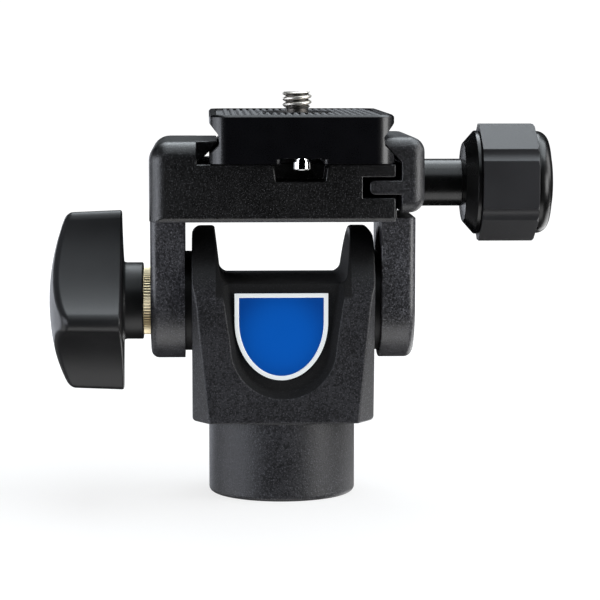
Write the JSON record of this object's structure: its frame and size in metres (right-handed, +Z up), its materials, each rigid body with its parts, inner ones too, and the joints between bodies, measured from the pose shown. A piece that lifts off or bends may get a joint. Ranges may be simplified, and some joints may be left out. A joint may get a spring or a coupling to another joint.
{
  "type": "monopod tilt head",
  "caption": "Tilt head for a monopod: a fork on a round foot, a platform that tilts and locks with a lobed knob, and a dovetail clamp with a quick release plate and camera screw.",
  "frame": {"origin": "middle of the part's bounding box in X and Y, at the height of the foot's underside; the axis of the foot and of its screw socket is at X = -4.25 mm, Y = 0", "axes": "+X along the tilt axis, from the lobed tilt knob towards the clamp knob; +Y to the back, along the quick release plate; +Z up, along the foot's axis towards the camera"},
  "size_m": [0.1098, 0.06, 0.0877],
  "materials": {
    "cast_aluminium": "black powder coat on a casting, fine grain",
    "anodised_aluminium": "satin black anodised",
    "gloss_black": "gloss black",
    "steel": "bright machined steel",
    "spring_steel": "zinc plated",
    "brass": "machined brass with a fine knurl",
    "bronze": "sintered bronze",
    "nylon": "black nylon",
    "knob_plastic": "moulded satin plastic with a soft sheen",
    "rubber": "moulded blue-grey rubber",
    "badge": "blue printed field in a silver rim"
  },
  "bodies": {
    "base": {"base_body": "cast_aluminium", "thread_insert": "steel", "badge_plate": "badge", "pivot_bush_left": "bronze", "pivot_bush_right": "bronze"},
    "platform": {"platform_body": "cast_aluminium", "pivot_bolt": "spring_steel", "friction_washer_left": "nylon", "friction_washer_right": "nylon", "jaw_spring_front": "spring_steel", "jaw_spring_rear": "spring_steel"},
    "jaw": {"sliding_jaw": "cast_aluminium", "jaw_washer": "nylon"},
    "clamp_knob": {"clamp_screw": "spring_steel", "clamp_hub": "gloss_black", "hex_grip": "rubber", "clamp_cap": "gloss_black"},
    "tilt_knob": {"tilt_knob": "knob_plastic", "knob_insert": "brass"},
    "plate": {"release_plate": "anodised_aluminium", "rubber_pad": "rubber", "stop_pin_front": "steel", "stop_pin_rear": "steel", "screw_clip": "spring_steel"},
    "camera_screw": {"camera_screw": "steel"}
  },
  "joints": [
    {"name": "tilt", "type": "hinge", "parent": "base", "child": "platform", "pos_m": [-0.00425, 0, 0.0421], "axis": [1, 0, 0], "range_deg": [-90, 90]},
    {"name": "tilt_knob_turn", "type": "hinge", "parent": "platform", "child": "tilt_knob", "pos_m": [-0.04425, 0, 0.0421], "axis": [-1, 0, 0], "range_deg": [0, 180]},
    {"name": "jaw_slide", "type": "slide", "parent": "platform", "child": "jaw", "axis": [1, 0, 0], "range_m": [0, 0.003]},
    {"name": "clamp_knob_turn", "type": "hinge", "parent": "jaw", "child": "clamp_knob", "pos_m": [0.04075, 0, 0.0679], "axis": [1, 0, 0], "range_deg": [0, 1080]},
    {"name": "plate_slide", "type": "slide", "parent": "platform", "child": "plate", "axis": [0, 1, 0], "range_m": [-0.01, 0.01]},
    {"name": "camera_screw_turn", "type": "hinge", "parent": "plate", "child": "camera_screw", "pos_m": [-0.00085, 0, 0.08], "axis": [0, 0, 1], "continuous": true}
  ],
  "couplings": [
    {"joint": "clamp_knob_turn", "follows": "jaw_slide", "rad_per_m": 6283.2}
  ]
}
